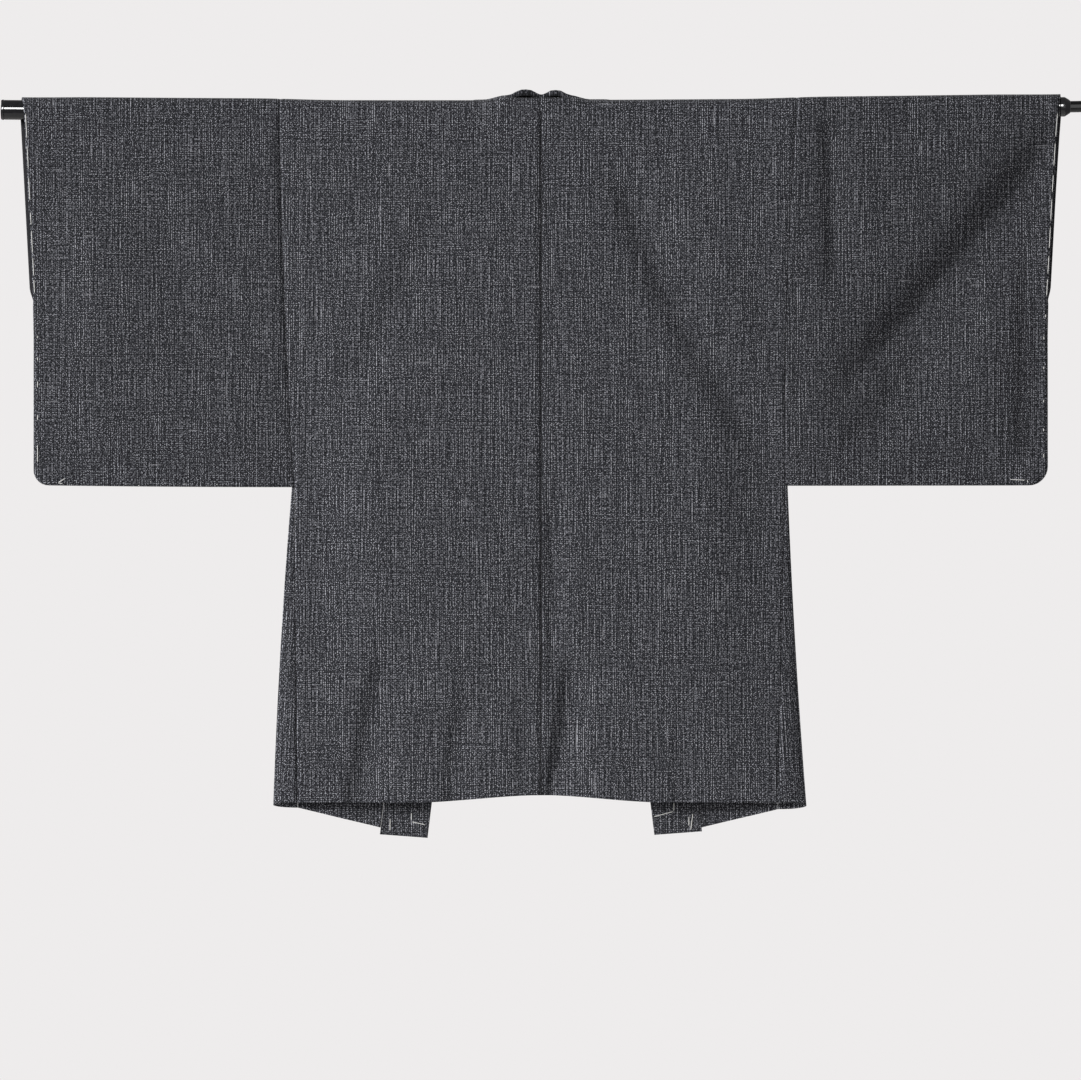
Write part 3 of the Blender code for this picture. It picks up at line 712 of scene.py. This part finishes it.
# the sleeves are darker than the body and the right one darker still, partly as painted shade where the
# light falls off from the left, partly the cloth's own tone
SLEEVE_TONE_AND_SHADE = {"left": 0.90, "right": 0.86}
THREAD = 0.0009
THREAD_SIDES = 6
THREAD_SPANS = 10
THREAD_WHITE = "#f4f4f2"
THREAD_SHADE = "#dcdbd7"
# a stitch's centre lies this many threads above the cloth and goes down by so many at its ends, over
# a length given in threads, or as a share of a short stitch
THREAD_LIE = 0.3
THREAD_DIVE = 1.2
DIVE_THREADS = 2.5
DIVE_SHARE = 0.35
# the part of its thickness, squared, that a thread keeps at its very ends
END_GIRTH = 0.1
INSIDE_DARK = "#1b1b1e"
INSIDE_LIGHT = "#242428"


def shut_round(drop):
    """How far the shut outer edge has rounded out: not at all where the hand opening ends."""
    return smooth((drop - CUFF_OPENING) / SHUT_ROUND)


def sleeve_reach(side, layer, drop):
    """How far out the sleeve's outer edge lies before its rounded corner."""
    share = min(drop / CUFF_OPENING, 1.0)
    reach = mix(side.cuff_top, side.cuff_low, share) - EDGE_REACH * shut_round(drop)
    if layer == "back":
        return reach
    closing = smooth((CUFF_OPENING - drop) / OVERHANG_END)
    return reach + side.cuff_overhang * (1 - OVERHANG_LOSS * share) * closing


def sleeve(side):
    """A tube round the rod, flat below it, shut along its bottom and up its outer edge to the opening."""
    corner = side.corner - EDGE_REACH
    length = SLEEVE_LENGTH - EDGE_REACH
    drops = stations(0.0, CUFF_OPENING)
    open_rows = len(drops) - 1
    drops += stations(CUFF_OPENING, length - corner)[1:]
    turns = [math.pi / 2 * step / CORNER_STEPS for step in range(1, CORNER_STEPS + 1)]
    drops += [length - corner + corner * math.sin(turn) for turn in turns]
    bottom = len(drops) - 1
    shares = shares_across(side.seam_top, side.cuff_top, near_start=True)
    outer = len(shares) - 1
    roll_angles = [math.pi * (step / ROLL_STEPS - 0.5) for step in range(1, ROLL_STEPS)]

    def corner_turn(drop):
        return math.asin(min(max((drop - length + corner) / corner, 0.0), 1.0))

    def sheet_point(layer, column, drop):
        start = side_seam(side, drop) + SEAM
        edge = sleeve_reach(side, layer, drop) - corner * (1 - math.cos(corner_turn(drop)))
        x = side.sign * mix(start, edge, shares[column])
        lower = (abs(x) - start) / (CUFF_LOW - start)
        low_edge = EDGE_REACH - mix(side.bottom_in, side.bottom_out, lower * lower)
        z = mix(axis_z(x), low_edge, drop / length)
        hang = z - axis_z(x)
        point = layer_point(layer, x, z, abs(x) - start)
        return point, (x, hang if layer == "back" else ROLL_LENGTH - hang)

    def edge_point(column, drop, outward, turn, layer="back"):
        """A point on the rounded fold along a shut edge, whose cut goes on from that of one layer."""
        back, back_cut = sheet_point("back", column, drop)
        front, front_cut = sheet_point("front", column, drop)
        point = (back + front) / 2
        point.y += (front.y - back.y) / 2 * math.sin(turn)
        bulge = EDGE_DEPTH * shut_round(drop) * math.cos(turn)
        point.x += side.sign * bulge * math.cos(outward)
        point.z -= bulge * math.sin(outward)
        cut = Vector(back_cut if layer == "back" else front_cut)
        arc = EDGE_DEPTH * (math.pi / 2 + (turn if layer == "back" else -turn))
        fall = -math.sin(outward) if layer == "back" else math.sin(outward)
        return point, cut + arc * Vector((side.sign * math.cos(outward), fall))

    fold_turn = math.pi / FOLD_STEPS
    # the rows are half the bottom fold, the back, the roll, the front, and the fold's other half
    tube_rows = 2 * bottom + len(roll_angles) + 5

    def place_tube(column, row):
        if row <= 1:
            return edge_point(column, drops[bottom], math.pi / 2, -fold_turn * row)
        if row >= tube_rows - 1:
            return edge_point(column, drops[bottom], math.pi / 2, fold_turn * (tube_rows - row), "front")
        if row <= bottom + 2:
            return sheet_point("back", column, drops[bottom + 2 - row])
        if row > bottom + 2 + len(roll_angles):
            return sheet_point("front", column, drops[row - bottom - 3 - len(roll_angles)])
        start = side_seam(side, 0.0) + SEAM
        angle = roll_angles[row - bottom - 3]
        edge = side.cuff_top + side.cuff_overhang * (angle / math.pi + 0.5)
        reach = mix(start, edge, shares[column])
        cut = (side.sign * reach, (angle / math.pi + 0.5) * ROLL_LENGTH)
        return roll_point(side.sign * reach, angle, reach - start), cut

    def place_outer_edge(column, row):
        drop = drops[bottom - row]
        if column in (0, FOLD_STEPS):
            return sheet_point("back" if column == 0 else "front", outer, drop)
        return edge_point(outer, drop, corner_turn(drop), fold_turn * (column - 2))

    mesh = new_cloth()
    cloth_grid(mesh, outer, tube_rows, place_tube)
    cloth_grid(mesh, FOLD_STEPS, bottom - open_rows, place_outer_edge)
    return mesh


def cotton_thread():
    """Loose two-ply basting cotton, bleached and unwaxed: matt white, its twist a slanted shade."""
    material, tree, shader = new_material("white_basting_cotton", Roughness=0.88, Sheen_Weight=0.2)
    strand = add_node(tree, "UVMap", {"uv_map": "strand"})
    # the twist turns once in 1.6 mm, and the strand's UV is in millimetres along it and turns about it
    slant = add_node(tree, "Mapping", Vector=(strand, "UV"), Scale=(1.0, 0.625, 1.0))
    diagonal = {"bands_direction": "DIAGONAL"}
    twist = add_node(tree, "TexWave", diagonal, Vector=(slant, "Vector"))
    feed(tree, twist, Scale=0.7, Distortion=1.5)
    tone = add_node(tree, "ValToRGB", Fac=(twist, "Fac"))
    tone.color_ramp.elements[0].color = linear(THREAD_SHADE)
    tone.color_ramp.elements[1].color = linear(THREAD_WHITE)
    bump = add_node(tree, "Bump", Strength=0.5, Distance=0.0001, Height=(twist, "Fac"))
    feed(tree, shader, Base_Color=(tone, "Color"), Normal=(bump, "Normal"))
    return material


def basting(name, layer, surface, stitches):
    """Threads that come up out of the cloth, lie on its face and go down again, a tube for each stitch."""
    mesh = bmesh.new()
    strand = mesh.loops.layers.uv.new("strand")
    for x0, z0, x1, z1 in stitches:
        run = Vector((x1 - x0, 0.0, z1 - z0))
        aside = Vector((-run.z, 0.0, run.x)).normalized()
        made = bmesh.ops.create_grid(mesh, x_segments=THREAD_SIDES, y_segments=THREAD_SPANS, size=1.0)
        for vertex in made["verts"]:
            turn = (vertex.co.x + 1) / 2
            along = (vertex.co.y + 1) / 2
            near_end = min(along, 1 - along) * run.length
            dive = min(DIVE_THREADS * THREAD, DIVE_SHARE * run.length)
            rise = THREAD_LIE - THREAD_DIVE * (1 - smooth(near_end / dive))
            lift = surface + math.copysign(THREAD * rise, surface)
            centre = layer_point(layer, x0 + run.x * along, z0 + run.z * along, 1.0, lift)
            girth = THREAD / 2 * math.sqrt(smooth(near_end / THREAD) * (1 - END_GIRTH) + END_GIRTH)
            vertex.co = centre + girth * math.cos(math.tau * turn) * aside
            vertex.co.y += girth * math.sin(math.tau * turn)
            for loop in vertex.link_loops:
                loop[strand].uv = (turn, along * run.length * 1000)
    bmesh.ops.remove_doubles(mesh, verts=mesh.verts, dist=1e-6)
    bmesh.ops.holes_fill(mesh, edges=mesh.edges, sides=0)
    bmesh.ops.recalc_face_normals(mesh, faces=mesh.faces)
    return place_piece(name, mesh, cotton, [])


def dark_sleeve_inside():
    """Near-black matt cloth for the sleeves' inner faces, which darkens the strip seen in each hand
    opening; its fine yarns show as a faint close grid.
    """
    material, tree, shader = new_material("dark_sleeve_inside_cloth", Roughness=0.85, Specular_IOR_Level=0.3)
    cut = add_node(tree, "UVMap", {"uv_map": "weave"})
    # yarns 0.4 mm apart, drawn three times as coarse
    yarns = add_node(tree, "Mapping", Vector=(cut, "UV"), Scale=(800.0, 800.0, 1.0))
    grid = add_node(tree, "TexChecker", Vector=(yarns, "Vector"), Scale=1.0)
    grid.inputs["Color1"].default_value = linear(INSIDE_DARK)
    grid.inputs["Color2"].default_value = linear(INSIDE_LIGHT)
    bump = add_node(tree, "Bump", Strength=0.2, Distance=0.0001, Height=(grid, "Fac"))
    feed(tree, shader, Base_Color=(grid, "Color"), Normal=(bump, "Normal"))
    return material


cotton = cotton_thread()
sleeve_inside = dark_sleeve_inside()
# each stitch along the bottom, and on the collar's ends further on: the x and z of its two ends
BOTTOM_STITCHES = {
    "left": (
        (-0.6125, -0.4703, -0.6044, -0.4657), (-0.6129, -0.4712, -0.6074, -0.4719),
        (-0.5113, -0.4738, -0.5097, -0.4752), (-0.4960, -0.4698, -0.4946, -0.4702),
        (-0.4530, -0.4724, -0.4512, -0.4724), (-0.4124, -0.4730, -0.4106, -0.4734),
    ),
    "right": (
        (0.4030, -0.4690, 0.4048, -0.4692), (0.4411, -0.4692, 0.4429, -0.4692),
        (0.4779, -0.4690, 0.4797, -0.4694), (0.5211, -0.4692, 0.5229, -0.4690),
        (0.5643, -0.4690, 0.5661, -0.4692), (0.5956, -0.4668, 0.6150, -0.4676),
        (0.6176, -0.4674, 0.6184, -0.4704),
    ),
}
# where each stitch on the outer edge starts and ends below the axis, first round the opening
CUFF_STITCHES = {
    "left": (
        (0.0025, 0.0343), (0.0445, 0.0724), (0.0838, 0.1130), (0.1283, 0.1435), (0.1511, 0.1791),
        (0.1854, 0.2083), (0.2134, 0.2299), (0.2840, 0.2874), (0.3120, 0.3154), (0.3423, 0.3499),
        (0.3848, 0.3912), (0.4229, 0.4450),
    ),
    "right": (
        (0.0025, 0.0318), (0.0394, 0.0686), (0.0800, 0.1016), (0.1105, 0.1384), (0.1461, 0.1727),
        (0.1829, 0.2057), (0.2121, 0.2337), (0.2572, 0.2610), (0.2852, 0.2888), (0.3232, 0.3270),
        (0.3651, 0.3689), (0.4020, 0.4058), (0.4340, 0.4392),
    ),
}

for side in SIDES:
    stitches = list(BOTTOM_STITCHES[side.name])
    for start, end in CUFF_STITCHES[side.name]:
        places = [side.sign * (sleeve_reach(side, "back", drop) - CUFF_INSET) for drop in (start, end)]
        stitches.append((places[0], -start, places[1], -end))
    threads = basting("basting_sleeve_" + side.name, "back", CLOTH / 2, stitches)
    name = "sleeve_" + side.name
    weave = mixed_grey_weave("grey_weave_" + name, (7.0 + side.sign, 4.3, 0.0), SLEEVE_TONE_AND_SHADE[side.name])
    mesh = sleeve(side)
    # the sleeves' inner faces take the near-black cloth, which darkens the hand openings
    cloth_piece(name + "_cloth", mesh, CLOTH, weave, name, sleeve_inside)


# -------- gussets
# A long wedge of the same cloth joins back and front below each sleeve, and a soft fold down its
# middle lets the skirt hang closed.

GUSSET_COLUMNS = 20
GUSSET_TONE = 0.95


def gusset(side):
    """The strip between back and front: a half-round section that widens towards the hem."""
    top = side.bottom_in + SEAM
    rows = round((BACK_LENGTH - top) / CELL)

    def section(row):
        """The points across the strip at one height, from the back seam to the front seam."""
        points = []
        for column in range(GUSSET_COLUMNS + 1):
            turn = mix(-math.pi / 2, math.pi / 2, column / GUSSET_COLUMNS)
            across = (1 + math.sin(turn)) / 2
            reach = side_seam(side, BACK_LENGTH)
            z = mix(-top, mix(back_hem(reach), front_hem(reach), across), row / rows)
            seam = side.sign * (side_seam(side, -z) + 2 * SEAM)
            share = row / rows
            growth = share * (1 + side.gusset_swell * (1 - share))
            width = mix(EDGE_DEPTH, side.gusset_width - CLOTH / 2, growth)
            back = layer_point("back", seam, z, 0.0).y
            front = layer_point("front", seam, z, 0.0).y
            points.append(Vector((seam + side.sign * width * math.cos(turn), mix(back, front, across), z)))
        return points

    sections = [section(row) for row in range(rows + 1)]

    def place(column, row):
        points = sections[row]
        runs = [(b - a).length for a, b in zip(points, points[1:])]
        return points[column], (sum(runs[:column]) - sum(runs) / 2, points[column].z)

    mesh = new_cloth()
    cloth_grid(mesh, GUSSET_COLUMNS, rows, place)
    return mesh


for side in SIDES:
    name = "gusset_" + side.name
    weave = mixed_grey_weave("grey_weave_" + name, (11.0 + side.sign, 9.1, 0.0), GUSSET_TONE)
    cloth_piece(name + "_cloth", gusset(side), CLOTH, weave, name)


# -------- collar band, with its basting
# The collar is one straight band of the same cloth, folded double along its length, sewn round the
# neck and down both fronts, and folded outwards behind the neck. Its lower ends are basted shut.

BAND = 0.0026
BAND_PROUD = 0.0006
COLLAR_WIDTH = 0.0605
COLLAR_LENGTH = 0.914
COLLAR_CORNER_DROP = 0.0045
COLLAR_LEFT_DROP = 0.0038
COLLAR_NECK_DROP = 0.021
COLLAR_NECK_CURVE = 0.020
COLLAR_NECK_FALL = 0.026
CURVE_ROWS = 12
CURVE_CLOSER = 1.6
COLLAR_ROLL_ROWS = 22
COLLAR_LOW_END = 8
FOLD_ROUNDING = 0.35
COLLAR_TONE = 0.92
LOBE_ANGLE = math.radians(6)
LOBE_SPREAD = math.radians(28)
# beside its neck seam the band tucks in under its roll, and a thin shadow is painted there behind the nape
NECK_TUCK = 0.0018
NECK_TUCK_WIDTH = 0.0022
NECK_SHADE = 0.0009
NECK_SHADE_REACH = 0.022
NECK_SHADE_FADE = 0.012
# the lobes lean back a little, most this far from the neck seam
LOBE_LEAN = 0.0012
LOBE_LEAN_FROM = 0.0045
LOBE_LEAN_WIDTH = 0.0030
# two soft bumps where the band turns over at the nape: place, width and height
LOBES = ((-0.0200, 0.0142, 0.0072), (0.0184, 0.0122, 0.0063))
HEM_STITCHES = (
    (-0.1918, -0.8979, -0.1918, -0.9130), (-0.1646, -0.8905, -0.1646, -0.8995),
    (-0.1640, -0.9019, -0.1473, -0.9055), (0.1689, -0.8776, 0.1689, -0.8877),
    (0.1684, -0.8887, 0.1435, -0.8954), (0.1880, -0.8954, 0.1880, -0.9068),
    (0.1930, -0.8915, 0.1905, -0.9120),
)


def collar_edge(drop):
    """How far out the collar's free edge lies; it curves inwards under the nape."""
    curve = 1 - min(max((drop - COLLAR_NECK_DROP) / COLLAR_NECK_FALL, 0.0), 1.0)
    inward = COLLAR_NECK_CURVE * (1 - math.sqrt(1 - curve * curve))
    return collar_seam(drop) - COLLAR_WIDTH - inward


def collar_lobes(x, angle):
    """How far the collar's lobes stand above its roll."""
    share = (angle - LOBE_ANGLE) / LOBE_SPREAD
    if abs(share) >= 1:
        return 0.0
    rise = 1 - share**4 if share < 0 else math.cos(share * math.pi / 2) ** 2
    bumps = sum(height * math.exp(-(abs((x - place) / width) ** 3)) for place, width, height in LOBES)
    return bumps * rise


def collar_band():
    """The band up one front, over the rod behind the neck, and down the other front."""
    drops = stations(COLLAR_LENGTH, COLLAR_NECK_DROP + COLLAR_NECK_FALL)
    for step in range(CURVE_ROWS - 1, -1, -1):
        drops.append(COLLAR_NECK_DROP + COLLAR_NECK_FALL * (step / CURVE_ROWS) ** CURVE_CLOSER)
    neck_row = len(drops) - 1
    drops += stations(COLLAR_NECK_DROP, 0.0)[1:]
    roll_row = len(drops) - 1
    shares = shares_across(0.0, COLLAR_WIDTH, near_start=True)
    band = len(shares) - 1
    columns = 2 * band + 4

    def across(column, drop):
        """Place across both bands, and how far across its own band the column lies from the seam."""
        inner = min(column, columns - column)
        seam = collar_seam(drop) - SEAM
        edge = collar_edge(drop)
        reach = mix(seam, edge, shares[inner]) if inner <= band else edge * (band + 2 - inner) / 2
        return (reach if 2 * column > columns else -reach), shares[min(inner, band)]

    def place(column, row):
        if row > roll_row:
            x, share = across(column, 0.0)
            end = neck_seam_angle(x) + SEAM / TOP_DEPTH
            angle = mix(math.pi / 2, end, (row - roll_row) / COLLAR_ROLL_ROWS)
            from_neck = (angle - end) * TOP_DEPTH
            lobe = collar_lobes(x, angle)
            point = roll_point(x, angle, share * COLLAR_WIDTH, from_neck, lobe, BAND_PROUD)
            point.y += NECK_TUCK * math.exp(-((from_neck / NECK_TUCK_WIDTH) ** 2))
            leaning = math.exp(-(((from_neck - LOBE_LEAN_FROM) / LOBE_LEAN_WIDTH) ** 2))
            point.y -= LOBE_LEAN * lobe / LOBES[0][2] * leaning
            # a thin shadow painted along the neck seam behind the nape
            nape = 1 - smooth((abs(x) - NECK_SHADE_REACH) / NECK_SHADE_FADE)
            painted_shadow = math.exp(-((from_neck / NECK_SHADE) ** 2)) * nape
            return point, (x, (math.pi / 2 - angle) * (TOP_DEPTH + roll_lift(x) + lobe)), painted_shadow
        drop = drops[row]
        x, share = across(column, drop)
        low = (drop / COLLAR_LENGTH) ** COLLAR_LOW_END
        corner_drop = COLLAR_CORNER_DROP * share + (COLLAR_LEFT_DROP if x < 0 else 0.0)
        z = axis_z(x) * (1 - low) - drop - corner_drop * low
        return layer_point("front", x, z, share * COLLAR_WIDTH, BAND_PROUD), (x, z)

    def keep(column, row):
        return row >= neck_row or not band <= column < columns - band

    mesh = new_cloth()
    cloth_grid(mesh, columns, roll_row + COLLAR_ROLL_ROWS, place, keep)
    return mesh


threads = basting("basting_collar_ends", "front", BAND_PROUD - BAND / 2, HEM_STITCHES)
weave = mixed_grey_weave("grey_weave_collar", (17.0, 5.5, 0.0), COLLAR_TONE)
collar = cloth_piece("collar_band", collar_band(), BAND, weave, "collar")
edges = collar.modifiers.new("Pressed folds", "BEVEL")
edges.width = BAND * FOLD_ROUNDING
edges.segments = 2
edges.limit_method = "ANGLE"
edges.angle_limit = math.radians(60)


# -------- floor, light and camera
# A pale painted floor lies well below the jacket. One large soft light from the left makes the
# creases show, a weak one fills from the right, two light the fronts, and two the rod alone.

FLOOR_Z = -1.9
FLOOR_RADIUS = 2.4
FLOOR_DARK = "#d6d5d3"
FLOOR_LIGHT = "#e2e1df"
BACKDROP = "#eeecec"
BACKDROP_GLOW = 0.25
JACKET_MIDDLE = (0.0, 0.0, -0.5)
VIEW_WIDTH = 1.3729
VIEW_CENTRE = (-0.0006, -0.5436)
VIEW_DISTANCE = 12.0


def painted_floor():
    """Eggshell paint on screed: pale, nearly matt, a little uneven in tone."""
    material, tree, shader = new_material("pale_floor_paint", Roughness=0.7)
    place = add_node(tree, "TexCoord")
    patches = add_node(tree, "TexNoise", Vector=(place, "Object"), Scale=1.5, Detail=4.0)
    tone = add_node(tree, "ValToRGB", Fac=(patches, "Fac"))
    tone.color_ramp.elements[0].color = linear(FLOOR_DARK)
    tone.color_ramp.elements[1].color = linear(FLOOR_LIGHT)
    feed(tree, shader, Base_Color=(tone, "Color"))
    return material


def soft_light(name, place, width, height, power, aim=JACKET_MIDDLE):
    """A large lamp, with its width and height in metres and its power in watts."""
    data = bpy.data.lights.new(name, "AREA")
    data.shape = "RECTANGLE"
    data.size = width
    data.size_y = height
    data.energy = power
    light = add_object(name, data)
    light.location = place
    light.rotation_euler = (Vector(aim) - Vector(place)).to_track_quat("-Z", "Y").to_euler()
    return light


mesh = bmesh.new()
bmesh.ops.create_circle(mesh, cap_ends=True, radius=FLOOR_RADIUS, segments=96)
bmesh.ops.translate(mesh, verts=mesh.verts, vec=(0, 0, FLOOR_Z))
floor = mesh_object("floor", mesh, painted_floor())

soft_light("key_light", (-9.2, -4.8, 2.0), 2.6, 2.6, 1330.0)
soft_light("fill_light", (2.6, -3.4, 0.3), 2.4, 2.4, 12.0)
rod_light = soft_light("rod_light", (0.0, -3.6, 1.03), 3.6, 1.1, 620.0, (0.0, 0.0, 0.0))
thin_tube_light = soft_light("thin_tube_light", (1.2, -2.6, 0.3), 3.0, 3.4, 60.0, (0.69, 0.0, 0.0))
for light, lit in ((rod_light, (rod_tube, cap, clamp)), (thin_tube_light, (inner,))):
    light.light_linking.receiver_collection = bpy.data.collections.new(light.name)
    for piece in lit:
        light.light_linking.receiver_collection.objects.link(piece)
soft_light("front_light_right", (3.3, 2.6, 1.2), 1.8, 1.8, 150.0)
soft_light("front_light_left", (-3.3, 2.6, 1.0), 1.8, 1.8, 85.0)

world = bpy.data.worlds.new("studio")
world.use_nodes = True
bpy.context.scene.world = world
tree = world.node_tree
tree.nodes.clear()
rays = add_node(tree, "LightPath")
pale = linear(BACKDROP)
air = add_node(tree, "Background", Color=pale, Strength=BACKDROP_GLOW)
backdrop = add_node(tree, "Background", Color=pale, Strength=1.0)
shown = add_node(tree, "MixShader", Fac=(rays, "Is Camera Ray"), _1=(air, 0), _2=(backdrop, 0))
add_node(tree, "OutputWorld", Surface=(shown, 0))
bpy.context.scene.view_settings.view_transform = "Standard"

camera_data = bpy.data.cameras.new("camera")
camera_data.sensor_width = 36.0
camera_data.lens = camera_data.sensor_width * VIEW_DISTANCE / VIEW_WIDTH
camera = add_object("camera", camera_data)
camera.location = (VIEW_CENTRE[0], -VIEW_DISTANCE, VIEW_CENTRE[1])
camera.rotation_euler = (math.pi / 2, 0, 0)
bpy.context.scene.camera = camera
